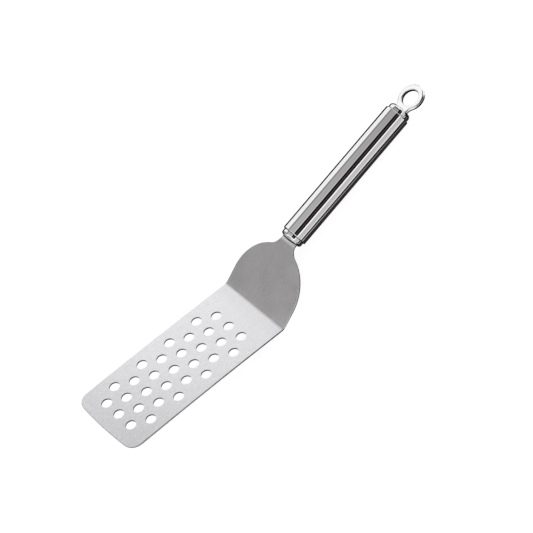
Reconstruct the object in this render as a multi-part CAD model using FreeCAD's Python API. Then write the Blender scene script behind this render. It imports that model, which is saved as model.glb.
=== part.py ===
import FreeCAD, Part
import math
import os

# Burger spatula in stainless steel. Millimetres and degrees, +Z up.
# It lies as it comes to rest, on the heel fold and the rear rim of the handle tube.
# The origin is on that floor, under the middle of the whole outline.
# The blade points to -X and the hanging ring to +X.

# Sheet of the blade, shoulder, neck and tang
sheet_thickness = 1.2
sheet_edge_radius = 0.3
blade_length = 134.3
blade_width = 64.2
blade_corner_radius = 9.0

# The blade is flat beside the heel fold and then bows down towards its curved front edge
blade_flat = 16.0
blade_bow_radius = 3000.0
front_bow_radius = 320.0

# Draining holes, in staggered rows across the blade
hole_diameter = 7.5
hole_pitch = 14.0
hole_stagger_angle = 60.0
hole_rows = 9
holes_in_short_row = 3
first_row_from_heel = 23.2

# Shoulder that rises from the heel fold and narrows to the neck
heel_angle = 38.9
heel_radius = 5.0
shoulder_length = 48.7
shoulder_straight = 13.7
neck_width = 14.6
neck_fillet = 9.0
neck_radius = 8.0
neck_reveal = 3.1

# Tang, narrower than the neck, whose steps seat on the dome of the front cap
tang_width = 11.0
tang_length = 12.0

# Handle tube, pitched up from the flat of the blade
handle_angle = 18.2
handle_diameter = 18.5
handle_wall = 1.0
handle_length = 108.3
handle_edge_radius = 0.5

# End caps, turned plugs with a shallow dome, and a relief groove beside the tube
front_cap_reveal = 4.4
front_cap_edge_radius = 1.8
rear_cap_reveal = 4.9
rear_cap_edge_radius = 2.5
cap_dome = 0.8
cap_insert = 12.0
cap_lead_in = 0.5
seam_width = 0.4
seam_depth = 0.3
cap_clearance = 0.05
slot_clearance = 0.05

# Hanging ring with a stem and a tail in the rear cap
ring_diameter = 20.0
ring_from_cap = 10.2
ring_hole_diameter = 12.5
ring_hole_offset = 0.6
ring_thickness = 2.8
ring_edge_radius = 1.3
ring_hole_edge_radius = 0.5
stem_width = 12.0
stem_fillet = 6.0
tail_width = 6.0
tail_length = 10.0

# Cutters reach this far past what they cut, and equal places differ by less than the match.
# An edge is sharp where its faces turn by more than the sharp angle.
overcut = 5.0
match = 1e-6
sharp_angle = 60.0

Vector = FreeCAD.Vector
Y_AXIS = Vector(0, 1, 0)
Z_AXIS = Vector(0, 0, 1)

# Handle frame: x runs along the handle axis from the top of the front cap's dome
tube_start = front_cap_reveal
tube_end = tube_start + handle_length
rear_top = tube_end + rear_cap_reveal
cap_radius = handle_diameter / 2 - handle_wall - cap_clearance
ring_centre = rear_top + ring_from_cap


def direction(angle):
    """Unit vector in the XZ plane, at an angle up from +X."""
    return Vector(math.cos(math.radians(angle)), 0, math.sin(math.radians(angle)))


def line(start, end):
    """Straight edge."""
    return Part.LineSegment(start, end).toShape()


def arc(centre, radius, start_angle, end_angle):
    """Arc edge in a plane of constant z, with angles from +X."""
    points = []
    for angle in (start_angle, (start_angle + end_angle) / 2, end_angle):
        turn = math.radians(angle)
        points.append(centre + Vector(math.cos(turn), math.sin(turn), 0) * radius)
    return Part.Arc(*points).toShape()


def curve(start, middle, end):
    """Arc edge through three points."""
    return Part.Arc(start, middle, end).toShape()


def open_line(points):
    """Straight edges from each point to the next."""
    return [line(start, end) for start, end in zip(points, points[1:])]


def prism(edges, bottom, height):
    """Solid from a closed outline drawn at z = 0, moved to bottom and raised by height."""
    face = Part.Face(Part.Wire(Part.__sortEdges__(edges)))
    face.translate(Vector(0, 0, bottom))
    return face.extrude(Vector(0, 0, height))


def tilted(origin, angle):
    """Placement of a frame whose x axis rises by angle from +X."""
    return FreeCAD.Placement(origin, FreeCAD.Rotation(Y_AXIS, -angle))


def fold_corners(points, angles):
    """Lower corners of the sheet under its upper ones, mitred where it folds."""
    corners = []
    for index, point in enumerate(points):
        before = angles[max(index - 1, 0)]
        after = angles[min(index, len(angles) - 1)]
        depth = sheet_thickness / math.cos(math.radians((after - before) / 2))
        corners.append(point - direction((before + after) / 2 + 90) * depth)
    return corners


def edges_across(shape, corner):
    """Edges across the whole sheet that run through a corner of its side view."""
    found = []
    for edge in shape.Edges:
        gap = edge.CenterOfMass - corner
        if math.hypot(gap.x, gap.z) < match and edge.Length > blade_width / 2:
            found.append(edge)
    return found


def sharp_edges(shape):
    """Sharp edges of a solid, with the middle of each."""
    found = []
    for edge in shape.Edges:
        middle = edge.valueAt((edge.FirstParameter + edge.LastParameter) / 2)
        normals = []
        for face in shape.ancestorsOfType(edge, Part.Face):
            normals.append(face.normalAt(*face.Surface.parameter(middle)))
        if abs(normals[0].dot(normals[-1])) < math.cos(math.radians(sharp_angle)):
            found.append((edge, middle))
    return found


# Side view of the sheet, in a frame with its origin on the heel fold and the flat level
heel = Vector(0, 0, 0)
neck = heel + direction(heel_angle) * shoulder_length
bow_start = Vector(-blade_flat, 0, 0)
tang_end = neck + direction(handle_angle) * (neck_reveal + tang_length)
upper = [bow_start, heel, neck, tang_end]
lower = fold_corners(upper, [0, heel_angle, handle_angle])
shoulder_frame = tilted(heel, heel_angle)
handle_frame = tilted(
    (neck + lower[2]) * 0.5 + direction(handle_angle) * neck_reveal, handle_angle)


def on_blade(distance):
    """Frame on top of the blade, at a distance from the heel fold along the sheet."""
    turn = max(distance - blade_flat, 0) / blade_bow_radius
    flat_part = Vector(-min(distance, blade_flat), 0, 0)
    bowed_part = Vector(-math.sin(turn), 0, math.cos(turn) - 1) * blade_bow_radius
    return tilted(flat_part + bowed_part, math.degrees(turn))


def folded_strip():
    """Sheet at full width, bowed along the blade, with its two folds rounded."""
    under = Z_AXIS * -sheet_thickness
    end = on_blade(blade_length + overcut)
    middle = on_blade((blade_flat + blade_length + overcut) / 2)
    edges = open_line(upper + lower[::-1])
    edges += [
        curve(lower[0], middle.multVec(under), end.multVec(under)),
        line(end.multVec(under), end.Base),
        curve(end.Base, middle.Base, upper[0])]
    face = Part.Face(Part.Wire(edges))
    face.translate(Vector(0, -blade_width / 2, 0))
    strip = face.extrude(Vector(0, blade_width, 0))
    folds = ((heel, heel_radius), (lower[1], heel_radius + sheet_thickness),
             (neck, neck_radius), (lower[2], neck_radius - sheet_thickness))
    for corner, radius in folds:
        strip = strip.makeFillet(radius, edges_across(strip, corner))
    return strip


def front_waste():
    """Sheet cut away past the curved front edge."""
    half = blade_width / 2 + overcut
    sweep = math.asin(half / front_bow_radius)
    side_x = front_bow_radius * (1 - math.cos(sweep))
    turn = math.degrees(sweep)
    outline = open_line([
        Vector(side_x, -half, 0), Vector(-2 * overcut, -half, 0),
        Vector(-2 * overcut, half, 0), Vector(side_x, half, 0)])
    outline.append(arc(Vector(front_bow_radius, 0, 0), front_bow_radius, 180 - turn, 180 + turn))
    waste = prism(outline, -sheet_thickness - overcut, sheet_thickness + 2 * overcut)
    waste.Placement = on_blade(blade_length).multiply(waste.Placement)
    return waste


def front_corners(sheet):
    """Upright edges at the two front corners of the blade."""
    upright = []
    for edge in sheet.Edges:
        if edge.BoundBox.YLength < match and edge.Length < 2 * sheet_thickness:
            upright.append(edge)
    return sorted(upright, key=lambda edge: edge.CenterOfMass.x)[:2]


def hole_punches():
    """Cylinders that punch the draining holes, square to the bowed blade."""
    punches = []
    row_spacing = hole_pitch * math.sin(math.radians(hole_stagger_angle))
    for row in range(hole_rows):
        count = holes_in_short_row + row % 2
        frame = on_blade(first_row_from_heel + row * row_spacing)
        for place in range(count):
            y = (place - (count - 1) / 2) * hole_pitch
            punch = Part.makeCylinder(
                hole_diameter / 2, sheet_thickness + 2 * overcut,
                Vector(0, y, -sheet_thickness - overcut))
            punch.Placement = frame
            punches.append(punch)
    return punches


def shoulder_waste(side):
    """Sheet cut away beside the round shoulder and the neck, on one side."""
    half_width = blade_width / 2
    half_neck = neck_width / 2
    end = shoulder_length + neck_reveal + tang_length + overcut
    round_centre = Vector(shoulder_straight, 0, 0)
    fillet_y = half_neck + neck_fillet
    reach = half_width + neck_fillet
    fillet_x = shoulder_straight + math.sqrt(reach ** 2 - fillet_y ** 2)
    meet = math.degrees(math.asin(fillet_y / reach))
    fillet_centre = Vector(fillet_x, side * fillet_y, 0)
    start = Vector(shoulder_straight, side * half_width, 0)
    neck_start = Vector(fillet_x, side * half_neck, 0)
    neck_end = Vector(end, side * half_neck, 0)
    outer_end = Vector(end, side * (half_width + overcut), 0)
    outer_start = Vector(shoulder_straight, side * (half_width + overcut), 0)
    outline = [
        arc(round_centre, half_width, side * 90, side * meet),
        arc(fillet_centre, neck_fillet, side * (meet - 180), side * -90),
        line(neck_start, neck_end),
        line(neck_end, outer_end),
        line(outer_end, outer_start),
        line(outer_start, start)]
    depth = 2 * (neck_reveal + tang_length)
    waste = prism(outline, -depth, 2 * depth)
    waste.Placement = shoulder_frame
    return waste


def turned(edges):
    """Solid turned about the handle axis from a closed outline in the XZ plane."""
    face = Part.Face(Part.Wire(edges))
    return face.revolve(Vector(0, 0, 0), Vector(1, 0, 0), 360)


def ring_edges(shape, places, radius):
    """Circular edges about the handle axis at the given x and radius."""
    found = []
    for edge in shape.Edges:
        if edge.Degenerated or not isinstance(edge.Curve, Part.Circle):
            continue
        if abs(edge.Curve.Radius - radius) < match:
            if min(abs(edge.Curve.Center.x - x) for x in places) < match:
                found.append(edge)
    return found


def cap_blank(reveal, edge_radius):
    """Cap without its slot, with the top of its dome at x = 0 and its plug towards +x."""
    end = reveal + cap_insert
    dome_radius = (cap_radius ** 2 + cap_dome ** 2) / (2 * cap_dome)
    half_turn = math.asin(cap_radius / dome_radius) / 2
    dome_middle = Vector(
        dome_radius * (1 - math.cos(half_turn)), 0, dome_radius * math.sin(half_turn))
    profile = [Vector(x, 0, radius) for x, radius in (
        (cap_dome, cap_radius),
        (reveal - seam_width, cap_radius),
        (reveal - seam_width, cap_radius - seam_depth),
        (reveal, cap_radius - seam_depth),
        (reveal, cap_radius),
        (end, cap_radius),
        (end, 0),
        (0, 0))]
    dome = curve(profile[-1], dome_middle, profile[0])
    blank = turned(open_line(profile) + [dome])
    blank = blank.makeFillet(edge_radius, ring_edges(blank, (cap_dome,), cap_radius))
    return blank.makeChamfer(cap_lead_in, ring_edges(blank, (end,), cap_radius))


def seat_waste(blank, rim, tongue_width):
    """What a sheet loses on a cap, beside the tongue that goes into the slot."""
    reach = blank.BoundBox.XMax + overcut
    width = blade_width + handle_diameter
    block = Part.makeBox(reach, width, width, Vector(rim, -width / 2, -width / 2))
    tongue = Part.makeBox(
        2 * reach, tongue_width, width, Vector(-reach, -tongue_width / 2, -width / 2))
    return blank.fuse(block).cut(tongue)


def make_blade():
    """Blade, shoulder, neck and tang, stamped and folded from one sheet."""
    sheet = folded_strip().cut([front_waste(), shoulder_waste(1), shoulder_waste(-1)])
    sheet = sheet.makeFillet(blade_corner_radius, front_corners(sheet))
    outline = []
    for edge, middle in sharp_edges(sheet):
        if handle_frame.inverse().multVec(middle).x < tang_length - match:
            outline.append(edge)
    sheet = sheet.makeFillet(sheet_edge_radius, outline)
    blank = cap_blank(front_cap_reveal, front_cap_edge_radius)
    waste = seat_waste(blank, cap_dome + front_cap_edge_radius, tang_width)
    waste.Placement = handle_frame
    return sheet.cut([waste] + hole_punches())


def make_handle_tube():
    """Tube of the handle, with its outer rims rounded."""
    outer = handle_diameter / 2
    bore = outer - handle_wall
    profile = [
        Vector(tube_start, 0, bore), Vector(tube_end, 0, bore),
        Vector(tube_end, 0, outer), Vector(tube_start, 0, outer)]
    tube = turned(open_line(profile + profile[:1]))
    rims = ring_edges(tube, (tube_start, tube_end), outer)
    return tube.makeFillet(handle_edge_radius, rims)


def slotted(blank, slot_width, slot_height):
    """Cap with a slot right through it."""
    width = slot_width + 2 * slot_clearance
    height = slot_height + 2 * slot_clearance
    length = blank.BoundBox.XMax + 2 * overcut
    return blank.cut(Part.makeBox(
        length, width, height, Vector(-overcut, -width / 2, -height / 2)))


def make_front_cap():
    """Front cap, slotted for the tang of the blade."""
    blank = cap_blank(front_cap_reveal, front_cap_edge_radius)
    return slotted(blank, tang_width, sheet_thickness)


def turned_to_rear(shape):
    """Shape of a cap moved to the rear end of the handle, facing +x."""
    shape.Placement = FreeCAD.Placement(
        Vector(rear_top, 0, 0), FreeCAD.Rotation(Z_AXIS, 180))
    return shape


def make_rear_cap():
    """Rear cap, slotted for the tail of the ring."""
    blank = cap_blank(rear_cap_reveal, rear_cap_edge_radius)
    return turned_to_rear(slotted(blank, tail_width, ring_thickness))


def make_hanging_ring():
    """Flat ring on a wide stem that seats on the rear cap, with a tail inside the cap."""
    radius = ring_diameter / 2
    centre = Vector(ring_centre, 0, 0)
    half_stem = stem_width / 2
    fillet_y = half_stem + stem_fillet
    reach = radius + stem_fillet
    fillet_x = ring_centre - math.sqrt(reach ** 2 - fillet_y ** 2)
    meet = 180 - math.degrees(math.asin(fillet_y / reach))
    tail_end = rear_top - tail_length
    outline = [
        arc(centre, radius, -meet, meet),
        line(Vector(tail_end, -half_stem, 0), Vector(tail_end, half_stem, 0))]
    for side in (1, -1):
        fillet_centre = Vector(fillet_x, side * fillet_y, 0)
        outline += [
            arc(fillet_centre, stem_fillet, side * (meet - 180), side * -90),
            line(Vector(fillet_x, side * half_stem, 0), Vector(tail_end, side * half_stem, 0))]
    ring = prism(outline, -ring_thickness / 2, ring_thickness)
    outer = []
    for edge, middle in sharp_edges(ring):
        if middle.x > tail_end + match:
            outer.append(edge)
    ring = ring.makeFillet(ring_edge_radius, outer)
    bottom = Vector(ring_centre - ring_hole_offset, 0, -ring_thickness)
    ring = ring.cut(Part.makeCylinder(ring_hole_diameter / 2, 2 * ring_thickness, bottom))
    inner = []
    for edge in ring.Edges:
        if isinstance(edge.Curve, Part.Circle):
            if abs(edge.Curve.Radius - ring_hole_diameter / 2) < match:
                inner.append(edge)
    ring = ring.makeFillet(ring_hole_edge_radius, inner)
    blank = cap_blank(rear_cap_reveal, rear_cap_edge_radius)
    waste = seat_waste(blank, cap_dome + rear_cap_edge_radius, tail_width)
    return ring.cut(turned_to_rear(waste))


def in_handle_frame(shape):
    """Shape of the handle carried to the frame of the blade."""
    shape.Placement = handle_frame.multiply(shape.Placement)
    return shape


def rest_angle():
    """Slope of the floor that touches the heel fold and the rear rim of the tube."""
    outer_radius = heel_radius + sheet_thickness
    heel_centre = heel + direction(heel_angle / 2 + 90) * (
        heel_radius / math.cos(math.radians(heel_angle / 2)))
    rim_centre = handle_frame.multVec(Vector(
        tube_end - handle_edge_radius, 0, handle_edge_radius - handle_diameter / 2))
    span = rim_centre - heel_centre
    slope = math.atan2(span.z, span.x)
    lift = math.asin((handle_edge_radius - outer_radius) / math.hypot(span.x, span.z))
    return math.degrees(slope - lift)


nodes = {
    "blade": make_blade(),
    "front_cap": in_handle_frame(make_front_cap()),
    "handle_tube": in_handle_frame(make_handle_tube()),
    "rear_cap": in_handle_frame(make_rear_cap()),
    "hanging_ring": in_handle_frame(make_hanging_ring())}

# Turned down onto the floor, then moved to the middle of its own outline
to_floor = tilted(Vector(0, 0, 0), -rest_angle())
for shape in nodes.values():
    shape.Placement = to_floor.multiply(shape.Placement)
box = Part.makeCompound(list(nodes.values())).optimalBoundingBox(False, False)
to_origin = Vector(-(box.XMin + box.XMax) / 2, -(box.YMin + box.YMax) / 2, -box.ZMin)

os.makedirs("parts", exist_ok=True)
for name, shape in nodes.items():
    shape.translate(to_origin)
    shape.exportStep("parts/" + name + ".step")
    print(name, "valid", shape.isValid(), "solids", len(shape.Solids),
          "volume", round(shape.Volume, 2))
print("rest angle", round(rest_angle(), 3), "size", round(box.XLength, 2),
      round(box.YLength, 2), round(box.ZLength, 2))
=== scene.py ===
import math

import bpy
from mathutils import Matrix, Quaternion, Vector


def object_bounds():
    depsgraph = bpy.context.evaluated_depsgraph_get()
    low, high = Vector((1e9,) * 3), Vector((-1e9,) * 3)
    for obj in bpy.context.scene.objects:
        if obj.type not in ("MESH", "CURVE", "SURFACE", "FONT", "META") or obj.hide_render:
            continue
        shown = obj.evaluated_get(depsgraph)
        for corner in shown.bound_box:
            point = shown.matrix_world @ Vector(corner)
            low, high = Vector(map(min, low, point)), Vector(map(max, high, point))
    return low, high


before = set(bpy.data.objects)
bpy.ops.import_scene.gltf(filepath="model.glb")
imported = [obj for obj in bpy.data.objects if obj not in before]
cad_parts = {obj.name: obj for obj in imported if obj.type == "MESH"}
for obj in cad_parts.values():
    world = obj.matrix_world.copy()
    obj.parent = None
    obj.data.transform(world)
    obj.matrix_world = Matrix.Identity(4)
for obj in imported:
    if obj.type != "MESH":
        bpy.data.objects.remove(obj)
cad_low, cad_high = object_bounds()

# A steel turner lies on a pale floor, on its heel fold and on the rear of its handle.
# Metres, +Z up, in the frame of the part: the blade points to -X and the hanging ring to +X.

# Camera of the photograph: what it looks at, from how far and which side, and how it is rolled
VIEW_TARGET = Vector((-0.004468, -0.002807, 0.020765))
VIEW_DISTANCE = 1.6869
VIEW_AZIMUTH = -0.8274
VIEW_ELEVATION = 51.1833
VIEW_ROLL = 50.803
FOCAL_PIXELS = 2500
IMAGE_SIDE = 533
SENSOR_WIDTH = 36.0

# Pale floor: its side, its diffuse grey and the glow that makes it read white
FLOOR_SIDE = 6.0
FLOOR_GREY = (0.24, 0.24, 0.24, 1)
FLOOR_GLOW = 0.925

# White surroundings and the share of them that counts as light
WHITE = (1, 1, 1, 1)
SKY_LIGHT = 0.5

# Soft lamp: its diameter, its watts and its place
LAMP_SIZE = 1.2
LAMP_ENERGY = 5
LAMP_PLACE = Vector((0.1, 0.3, 1.4))

# Round cards stand round the handle's middle, at this radius from an axis along X and in steps
# of about this many degrees. Each card: from which angle above the far horizon to which, from
# and to which X, and its brightness at the two places along X that come last.
CARD_RADIUS = 0.9
CARD_STEP = 4.0
CARD_AXIS_HEIGHT = cad_high.z / 4
MIRRORED_ENDS = (0.11, 0.28)
SHOULDER_ENDS = (-0.30, 0.04)
CARDS = {
    "horizon": (-2, 1, -1.5, 1.5, 0.005, 0.005, MIRRORED_ENDS),
    "front_end": (1, 117, -4.0, -1.7, 0.01, 0.01, MIRRORED_ENDS),
    "shoulder_side": (1, 53, -0.70, 0.05, 0.25, 0.34, SHOULDER_ENDS),
    "shoulder_top": (53, 68, -0.70, -0.45, 0.25, 0.25, SHOULDER_ENDS),
    "overhead_edge": (52.5, 68, -0.45, 0.35, 0.30, 0.27, MIRRORED_ENDS),
    "overhead_low": (68, 78, -0.12, 0.35, 0.51, 0.42, MIRRORED_ENDS),
    "overhead": (78, 108, -0.12, 0.35, 0.49, 0.39, MIRRORED_ENDS),
    "overhead_bright": (108, 116.5, -0.12, 0.35, 0.65, 0.46, MIRRORED_ENDS),
    "overhead_rear": (56, 116.5, 0.35, 0.9, 0.005, 0.005, MIRRORED_ENDS),
    "camera_far": (116.5, 130.5, -0.12, 1.8, 0.004, 0.004, MIRRORED_ENDS),
    "camera_middle": (130.5, 140.5, -0.12, 1.8, 0.045, 0.045, MIRRORED_ENDS),
    "camera_near": (140.5, 152, -0.12, 1.8, 0.004, 0.004, MIRRORED_ENDS),
    "near_bright": (152, 162, -1.5, 1.5, 1.15, 1.05, MIRRORED_ENDS),
    "near_side": (162, 180, -1.5, 1.5, 0.59, 0.55, MIRRORED_ENDS)}

# Ground cards lie this high over the floor. Each card: X, near Y and far Y at its front end,
# the same at its rear end, and its brightness at both ends.
GROUND_CARD_HEIGHT = 0.0002
# The darkest cards, under and beside the handle, the blade and the ring, are painted shadow: the
# object's shadow on the floor, shown only in its reflections.
GROUND_CARDS = {
    "ground_near": (-0.3, -0.9, -0.162, 0.23, -0.9, -0.052, 0.55, 0.55),
    "ground_light": (-0.03, -0.105, -0.0566, 0.137, -0.070, -0.0280, 0.79, 0.79),
    "ground_edge": (-0.03, -0.0566, -0.0350, 0.137, -0.0280, -0.0167, 0.005, 0.005),
    "ground_stripe": (-0.03, -0.0350, -0.0275, 0.137, -0.0167, -0.0147, 0.66, 0.15),
    "ground": (-0.03, -0.0275, 0.0, 0.137, -0.0147, 0.0, 0.025, 0.025),
    "ground_far": (-0.03, 0.0, 2.9, 0.137, 0.0, 2.9, 0.004, 0.004),
    "ground_blade": (-0.26, -0.085, 2.9, -0.03, -0.045, 2.9, 0.012, 0.012),
    "ground_ring": (0.137, -0.06, 0.0, 0.160, -0.06, 0.018, 0.006, 0.006),
    "ground_ring_far": (0.137, 0.0, 2.9, 0.6, 0.24, 2.9, 0.006, 0.006)}

# A dark card stands close beside the hanging ring: from X, to X, its Y, its height over the
# floor and its brightness
RING_CARD = (0.137, 0.170, -0.013, 0.0102, 0.01)

# Colour casts of the cards darker than the limit, and of the cards that the shoulder mirrors
DARK_LIMIT = 0.1
DARK_CAST = (1.3, 1.0, 1.05, 1)
SHOULDER_CAST = (1.05, 1.005, 1.0, 1)

# Where the handle's axis enters the front cap and which way it runs, where the grooves beside
# the tube start and end along it, and the share of the steel's tone that is left in them as
# painted shade
HANDLE_START = (0.019155, 0.0, 0.014992)
HANDLE_AXIS = (0.998685, 0.0, -0.051275)
SEAMS = ((0.0040, 0.0044), (0.1127, 0.1131))
SEAM_SHADE_SHARE = 0.1

# Sphere of the front cap's domed end, which the neck ends on, how wide the line of painted shade
# beside it is, and the share of the sheet's tone that is left in that line
DOME_CENTRE = (0.061524, 0.0, 0.012817)
DOME_RADIUS = 0.042425
JOINT_WIDTH = 0.00055
JOINT_SHADE_SHARE = 0.08

# Cut edges, darkened as painted shade: how far the surface faces up or down at full and at no
# shade, and the share of the sheet's tone that is left on them
CUT_NORMALS = (0.45, 0.7)
CUT_SHADE_SHARE = 0.3

# The range that most noise lies in, and the noise patterns: their scale along each axis, their
# detail and their roughness
NOISE_LOW = 0.25
NOISE_HIGH = 0.75
SHEET_FINE = ((60, 5200, 900), 4.0, 0.7)
SHEET_BROAD = ((14, 900, 160), 3.0, 0.6)
SHEET_CLOUD = ((45, 60, 60), 4.0, 0.6)
SHEET_MOTTLE = ((620, 900, 900), 2.0, 0.7)
POLISH_HAIRS = ((30, 2600, 2600), 4.0, 0.7)
POLISH_SMEAR = ((40, 90, 90), 4.0, 0.6)

# Sheet: its tone over the clouds, how far the other patterns move that up and down, its tint,
# its roughness over the clouds, how far the fine grain moves that, and its bump
SHEET_TONE = (0.872, 0.922)
FINE_SWING = 0.05
BROAD_SWING = 0.025
MOTTLE_SWING = 0.10
SHEET_TINT = (0.981, 0.98, 1.0)
SHEET_ROUGHNESS = (0.27, 0.33)
ROUGHNESS_SWING = 0.04
SHEET_BUMP = (0.25, 0.00002)

# Along the sheet, the strength of its mottle and the share of its tone: places along X and the
# value there. The share that falls off towards the front tip is painted shade, where the light
# falls off.
MOTTLE_FADE = ((-0.150, 1.0), (-0.035, 0.4))
FRONT_PAINTED_SHADE = ((-0.150, 0.91), (-0.105, 1.0))
# Across the heel fold: painted shade, then a painted highlight where the sheet bends.
HEEL_SHADE_AND_HIGHLIGHT = (
    (-0.0420, 1.0), (-0.0335, 0.945), (-0.0315, 0.945), (-0.0290, 1.10), (-0.0270, 1.0))

# Polish: the tone and the least roughness of the tube and caps and of the ring, how far the
# hairlines move the tone, how much they and the smears roughen it, its tint and its bump
HANDLE_POLISH = (0.87, 0.005)
RING_POLISH = (0.93, 0.03)
HAIR_SWING = 0.02
HAIR_ROUGHNESS = 0.012
SMEAR_ROUGHNESS = 0.015
POLISH_TINT = (1.0, 0.995, 0.995)
POLISH_BUMP = (0.05, 0.00001)


def new_material(name):
    """Material with an empty node tree: the material, its tree and its output node."""
    material = bpy.data.materials.new(name)
    material.use_nodes = True
    tree = material.node_tree
    tree.nodes.clear()
    return material, tree, add(tree, "ShaderNodeOutputMaterial")


def add(tree, kind, **settings):
    """New node with its properties set."""
    node = tree.nodes.new(kind)
    for key, value in settings.items():
        setattr(node, key, value)
    return node


def connect(tree, node, *values):
    """Gives a node's first inputs their values: sockets are linked, the rest is set."""
    for socket, value in zip(node.inputs, values):
        if isinstance(value, bpy.types.NodeSocket):
            tree.links.new(value, socket)
        else:
            socket.default_value = value


def math_node(tree, operation, *values):
    """Math node on sockets or numbers, and its result."""
    node = add(tree, "ShaderNodeMath", operation=operation)
    connect(tree, node, *values)
    return node.outputs[0]


def vector_node(tree, operation, *values):
    """Vector math node on sockets or vectors, and its outputs."""
    node = add(tree, "ShaderNodeVectorMath", operation=operation)
    connect(tree, node, *values)
    return node.outputs


def coordinate(tree, name):
    """Coordinate of the surface by its name: Object for its place, Normal for its direction."""
    return add(tree, "ShaderNodeTexCoord").outputs[name]


def component(tree, vector, axis):
    """One component of a vector."""
    parts = add(tree, "ShaderNodeSeparateXYZ")
    connect(tree, parts, vector)
    return parts.outputs[axis]


def streaks(tree, place, scale, detail, roughness):
    """Noise with its own scale along each axis, from 0 to 1."""
    mapping = add(tree, "ShaderNodeMapping")
    mapping.inputs["Scale"].default_value = scale
    tree.links.new(place, mapping.inputs["Vector"])
    noise = add(tree, "ShaderNodeTexNoise")
    noise.inputs["Scale"].default_value = 1.0
    noise.inputs["Detail"].default_value = detail
    noise.inputs["Roughness"].default_value = roughness
    tree.links.new(mapping.outputs[0], noise.inputs["Vector"])
    return noise.outputs["Fac"]


def ranged(tree, value, low, high, from_low=NOISE_LOW, from_high=NOISE_HIGH):
    """Value carried from one range, which is that of noise if none is named, to another."""
    node = add(tree, "ShaderNodeMapRange", clamp=True)
    tree.links.new(value, node.inputs["Value"])
    node.inputs["From Min"].default_value = from_low
    node.inputs["From Max"].default_value = from_high
    node.inputs["To Min"].default_value = low
    node.inputs["To Max"].default_value = high
    return node.outputs[0]


def swing(tree, pattern, amount):
    """Noise carried to a range that lies evenly round 0."""
    return ranged(tree, pattern, -amount, amount)


def along_places(tree, along, places):
    """Value that runs from place to place: pairs of a place and the value there."""
    total = places[0][1]
    for (start, before), (end, after) in zip(places, places[1:]):
        step = ranged(tree, along, 0.0, after - before, start, end)
        total = math_node(tree, "ADD", step, total)
    return total


def tinted(tree, value, tint):
    """Colour from one value, with a slight tint."""
    node = add(tree, "ShaderNodeCombineColor")
    for channel, share in zip(node.inputs, tint):
        tree.links.new(math_node(tree, "MULTIPLY", value, share), channel)
    return node.outputs[0]


def inside(tree, value, low, high):
    """1 where the value lies between two limits, else 0."""
    above = math_node(tree, "GREATER_THAN", value, low)
    return math_node(tree, "MULTIPLY", above, math_node(tree, "LESS_THAN", value, high))


def shaded(tree, tone, mask, share):
    """Tone lowered to a share of it where the mask is 1."""
    return math_node(tree, "MULTIPLY", tone, ranged(tree, mask, 1.0, share, 0.0, 1.0))


def joint_line(tree, place):
    """1 on the sheet right beside the front cap's domed end."""
    offset = vector_node(tree, "SUBTRACT", place, DOME_CENTRE)["Vector"]
    distance = vector_node(tree, "LENGTH", offset)["Value"]
    return math_node(tree, "LESS_THAN", distance, DOME_RADIUS + JOINT_WIDTH)


def seam_grooves(tree, place):
    """1 in the grooves beside the ends of the tube."""
    offset = vector_node(tree, "SUBTRACT", place, HANDLE_START)["Vector"]
    along = vector_node(tree, "DOT_PRODUCT", offset, HANDLE_AXIS)["Value"]
    return math_node(tree, "ADD", *(inside(tree, along, *seam) for seam in SEAMS))


def cut_edges(tree):
    """1 on the walls of the sheet and of its holes, 0 on its two faces."""
    upright = math_node(tree, "ABSOLUTE", component(tree, coordinate(tree, "Normal"), "Z"))
    return ranged(tree, upright, 1.0, 0.0, *CUT_NORMALS)


def metal(tree, output, colour, roughness, height, bump):
    """Metal surface with a bump from a height: the bump's strength and distance."""
    relief = add(tree, "ShaderNodeBump")
    strength, distance = bump
    relief.inputs["Strength"].default_value = strength
    relief.inputs["Distance"].default_value = distance
    tree.links.new(height, relief.inputs["Height"])
    shader = add(tree, "ShaderNodeBsdfPrincipled")
    shader.inputs["Metallic"].default_value = 1.0
    tree.links.new(colour, shader.inputs["Base Color"])
    tree.links.new(roughness, shader.inputs["Roughness"])
    tree.links.new(relief.outputs[0], shader.inputs["Normal"])
    tree.links.new(shader.outputs[0], output.inputs["Surface"])


def brushed_steel():
    """Sheet steel with a fine grain along the blade; painted shade at its cut edges, tip, heel
    fold and cap joint, and a painted highlight at the fold.
    """
    material, tree, output = new_material("brushed_steel")
    place = coordinate(tree, "Object")
    along = component(tree, place, "X")
    fine = streaks(tree, place, *SHEET_FINE)
    broad = streaks(tree, place, *SHEET_BROAD)
    cloud = streaks(tree, place, *SHEET_CLOUD)
    mottle = streaks(tree, place, *SHEET_MOTTLE)
    grain = math_node(tree, "ADD", swing(tree, fine, FINE_SWING), swing(tree, broad, BROAD_SWING))
    tone = math_node(tree, "ADD", grain, ranged(tree, cloud, *SHEET_TONE))
    fading = along_places(tree, along, MOTTLE_FADE)
    spots = math_node(tree, "MULTIPLY", swing(tree, mottle, MOTTLE_SWING), fading)
    tone = math_node(tree, "ADD", tone, spots)
    # Painted shade: the tone falls off towards the front tip.
    tone = math_node(tree, "MULTIPLY", tone, along_places(tree, along, FRONT_PAINTED_SHADE))
    # Painted shade and a painted highlight across the heel fold.
    tone = math_node(tree, "MULTIPLY", tone, along_places(tree, along, HEEL_SHADE_AND_HIGHLIGHT))
    # Painted shade: the cut edges and the walls of the holes are darkened.
    tone = shaded(tree, tone, cut_edges(tree), CUT_SHADE_SHARE)
    # Painted shade: a dark line on the sheet where the neck meets the front cap.
    tone = shaded(tree, tone, joint_line(tree, place), JOINT_SHADE_SHARE)
    scratches = swing(tree, fine, ROUGHNESS_SWING)
    roughness = math_node(tree, "ADD", scratches, ranged(tree, cloud, *SHEET_ROUGHNESS))
    metal(tree, output, tinted(tree, tone, SHEET_TINT), roughness, fine, SHEET_BUMP)
    return material


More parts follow.
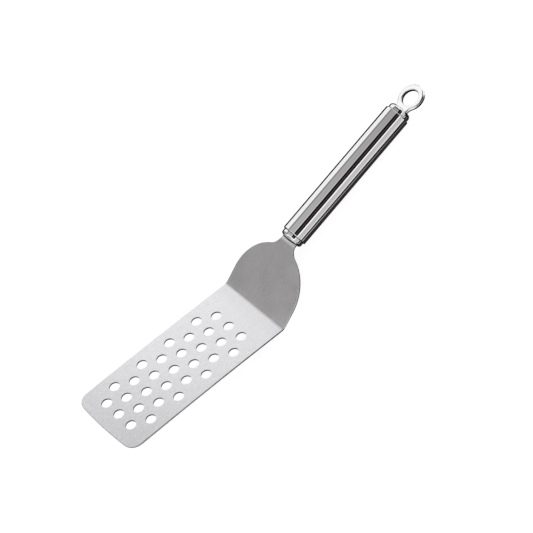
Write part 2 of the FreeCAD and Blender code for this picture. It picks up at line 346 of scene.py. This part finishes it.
def polished_steel(name, tone, least_roughness, grooved=False):
    """Polished steel with faint hairlines and smears, and painted shade in the seam grooves where
    wanted.
    """
    material, tree, output = new_material(name)
    place = coordinate(tree, "Object")
    hairs = streaks(tree, place, *POLISH_HAIRS)
    smear = streaks(tree, place, *POLISH_SMEAR)
    tone = ranged(tree, hairs, tone - HAIR_SWING, tone + HAIR_SWING)
    if grooved:
        # Painted shade in the grooves beside the ends of the tube.
        tone = shaded(tree, tone, seam_grooves(tree, place), SEAM_SHADE_SHARE)
    smears = ranged(tree, smear, least_roughness, least_roughness + SMEAR_ROUGHNESS)
    roughness = math_node(tree, "ADD", ranged(tree, hairs, 0.0, HAIR_ROUGHNESS), smears)
    metal(tree, output, tinted(tree, tone, POLISH_TINT), roughness, hairs, POLISH_BUMP)
    return material


def dress(node, material):
    """Gives a node of the frame its material."""
    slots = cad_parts[node].material_slots
    if not slots:
        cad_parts[node].data.materials.append(material)
    for slot in slots:
        slot.material = material


def show_plainly(tree):
    """1 for the rays that show what they meet: camera, glossy and transmission rays."""
    path = add(tree, "ShaderNodeLightPath")
    seen = math_node(tree, "MAXIMUM", path.outputs["Is Camera Ray"], path.outputs["Is Glossy Ray"])
    return math_node(tree, "MAXIMUM", seen, path.outputs["Is Transmission Ray"])


def new_object(name, points, faces):
    """Mesh object in the scene, and its mesh."""
    mesh = bpy.data.meshes.new(name)
    mesh.from_pydata(points, [], faces)
    piece = bpy.data.objects.new(name, mesh)
    bpy.context.scene.collection.objects.link(piece)
    return piece, mesh


def make_floor():
    """Pale floor that reads white and keeps the object's shadow."""
    half = FLOOR_SIDE / 2
    corners = [(-half, -half, 0), (half, -half, 0), (half, half, 0), (-half, half, 0)]
    floor, mesh = new_object("floor", corners, [(0, 1, 2, 3)])
    material, tree, output = new_material("floor")
    cloth = add(tree, "ShaderNodeBsdfDiffuse")
    cloth.inputs["Color"].default_value = FLOOR_GREY
    glow = add(tree, "ShaderNodeEmission")
    strength = math_node(tree, "MULTIPLY", show_plainly(tree), FLOOR_GLOW)
    tree.links.new(strength, glow.inputs["Strength"])
    both = add(tree, "ShaderNodeAddShader")
    connect(tree, both, cloth.outputs[0], glow.outputs[0])
    tree.links.new(both.outputs[0], output.inputs["Surface"])
    mesh.materials.append(material)


def make_card(name, points, faces, front, rear, ends):
    """Glowing card that only reflections show, with its brightness at two places along X."""
    card, mesh = new_object(name, points, faces)
    for kind in ("camera", "diffuse", "transmission", "volume_scatter", "shadow"):
        setattr(card, "visible_" + kind, False)
    material, tree, output = new_material(name)
    glow = add(tree, "ShaderNodeEmission")
    along = component(tree, coordinate(tree, "Object"), "X")
    tree.links.new(ranged(tree, along, front, rear, *ends), glow.inputs["Strength"])
    cast = WHITE
    if front < DARK_LIMIT:
        cast = DARK_CAST
    elif "shoulder" in name:
        cast = SHOULDER_CAST
    glow.inputs["Color"].default_value = cast
    tree.links.new(glow.outputs[0], output.inputs["Surface"])
    mesh.materials.append(material)


def make_round_card(name, from_angle, to_angle, from_x, to_x, front, rear, ends):
    """Curved card round the handle's middle."""
    steps = max(1, round((to_angle - from_angle) / CARD_STEP))
    points = []
    for step in range(steps + 1):
        angle = math.radians(from_angle + (to_angle - from_angle) * step / steps)
        y = CARD_RADIUS * math.cos(angle)
        z = CARD_AXIS_HEIGHT + CARD_RADIUS * math.sin(angle)
        points += [(from_x, y, z), (to_x, y, z)]
    firsts = range(0, 2 * steps, 2)
    faces = [(first, first + 1, first + 3, first + 2) for first in firsts]
    make_card(name, points, faces, front, rear, ends)


def make_ground_card(name, from_x, from_near, from_far, to_x, to_near, to_far, front, rear):
    """Flat card on the floor."""
    corners = [(from_x, from_near), (to_x, to_near), (to_x, to_far), (from_x, from_far)]
    points = [(x, y, GROUND_CARD_HEIGHT) for x, y in corners]
    make_card(name, points, [(0, 1, 2, 3)], front, rear, (from_x, to_x))


def make_ring_card(from_x, to_x, y, height, brightness):
    """Upright card that only the ring's near side mirrors."""
    points = [(from_x, y, 0), (to_x, y, 0), (to_x, y, height), (from_x, y, height)]
    make_card("ring_card", points, [(0, 1, 2, 3)], brightness, brightness, (from_x, to_x))


def make_world():
    """White surroundings that light less than they show."""
    world = bpy.data.worlds.new("studio")
    bpy.context.scene.world = world
    world.use_nodes = True
    tree = world.node_tree
    tree.nodes.clear()
    output = add(tree, "ShaderNodeOutputWorld")
    background = add(tree, "ShaderNodeBackground")
    background.inputs["Color"].default_value = WHITE
    strength = math_node(tree, "MAXIMUM", show_plainly(tree), SKY_LIGHT)
    tree.links.new(strength, background.inputs["Strength"])
    tree.links.new(background.outputs[0], output.inputs["Surface"])


def make_lamp():
    """Large soft lamp overhead, for the shadow."""
    light = bpy.data.lights.new("lamp", "AREA")
    light.shape = "DISK"
    light.size = LAMP_SIZE
    light.energy = LAMP_ENERGY
    lamp = bpy.data.objects.new("lamp", light)
    lamp.location = LAMP_PLACE
    lamp.rotation_euler = LAMP_PLACE.to_track_quat("Z", "Y").to_euler()
    lamp.visible_glossy = False
    bpy.context.scene.collection.objects.link(lamp)


def make_camera():
    """Camera of the photograph."""
    azimuth = math.radians(VIEW_AZIMUTH)
    elevation = math.radians(VIEW_ELEVATION)
    back = Vector((
        math.sin(azimuth) * math.cos(elevation),
        -math.cos(azimuth) * math.cos(elevation),
        math.sin(elevation)))
    data = bpy.data.cameras.new("camera")
    data.sensor_width = SENSOR_WIDTH
    data.lens = FOCAL_PIXELS / IMAGE_SIDE * SENSOR_WIDTH
    camera = bpy.data.objects.new("camera", data)
    camera.location = VIEW_TARGET + back * VIEW_DISTANCE
    camera.rotation_mode = "QUATERNION"
    roll = Quaternion((0, 0, 1), -math.radians(VIEW_ROLL))
    camera.rotation_quaternion = back.to_track_quat("Z", "Y") @ roll
    bpy.context.scene.collection.objects.link(camera)
    bpy.context.scene.camera = camera


make_camera()
dress("blade", brushed_steel())
dress("handle_tube", polished_steel("polished_steel", *HANDLE_POLISH))
caps = polished_steel("cap_steel", *HANDLE_POLISH, grooved=True)
dress("front_cap", caps)
dress("rear_cap", caps)
dress("hanging_ring", polished_steel("ring_steel", *RING_POLISH))
make_floor()
make_world()
make_lamp()
for name, card in CARDS.items():
    make_round_card(name, *card)
for name, card in GROUND_CARDS.items():
    make_ground_card(name, *card)
make_ring_card(*RING_CARD)

scene = bpy.context.scene
scene.view_settings.view_transform = "Standard"
